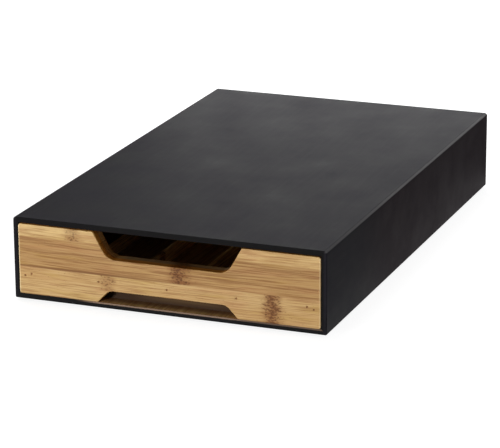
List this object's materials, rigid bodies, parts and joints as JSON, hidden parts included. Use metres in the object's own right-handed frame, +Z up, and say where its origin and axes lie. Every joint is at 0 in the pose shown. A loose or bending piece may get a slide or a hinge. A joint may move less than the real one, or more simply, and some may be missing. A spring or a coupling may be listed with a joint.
{
  "type": "coffee pod drawer",
  "caption": "Low matt black sleeve box, open at the front, with a full-length natural bamboo drawer for coffee pods; its front has a wide window and a finger cut-out.",
  "frame": {"origin": "middle of the footprint, on the surface that the anti-slip pads stand on", "axes": "+Z up; -Y is the way the drawer pulls out, so the front board faces -Y; +X to the right of someone who looks along +Y at the front"},
  "size_m": [0.226, 0.371, 0.0595],
  "materials": {
    "painted_board": "bamboo board painted matt black outside and on its mouth edges, bare inside",
    "bamboo": "natural laminated bamboo, satin clear finish",
    "pad_rubber": "soft anti-slip rubber",
    "nail_steel": "dull dark steel"
  },
  "bodies": {
    "sleeve": {"top_board": "painted_board", "bottom_board": "painted_board", "left_board": "painted_board", "right_board": "painted_board", "back_board": "painted_board", "pad_front_left": "pad_rubber", "pad_front_right": "pad_rubber", "pad_rear_left": "pad_rubber", "pad_rear_right": "pad_rubber"},
    "drawer": {"front_board": "bamboo", "front_rail": "bamboo", "left_wall": "bamboo", "right_wall": "bamboo", "back_wall": "bamboo", "floor_panel": "bamboo", "lane_divider_1": "bamboo", "lane_divider_2": "bamboo", "lane_divider_3": "bamboo", "lane_divider_4": "bamboo", "front_nails": "nail_steel"}
  },
  "joints": [
    {"name": "drawer_slide", "type": "slide", "parent": "sleeve", "child": "drawer", "axis": [0, -1, 0], "range_m": [0, 0.32]}
  ]
}
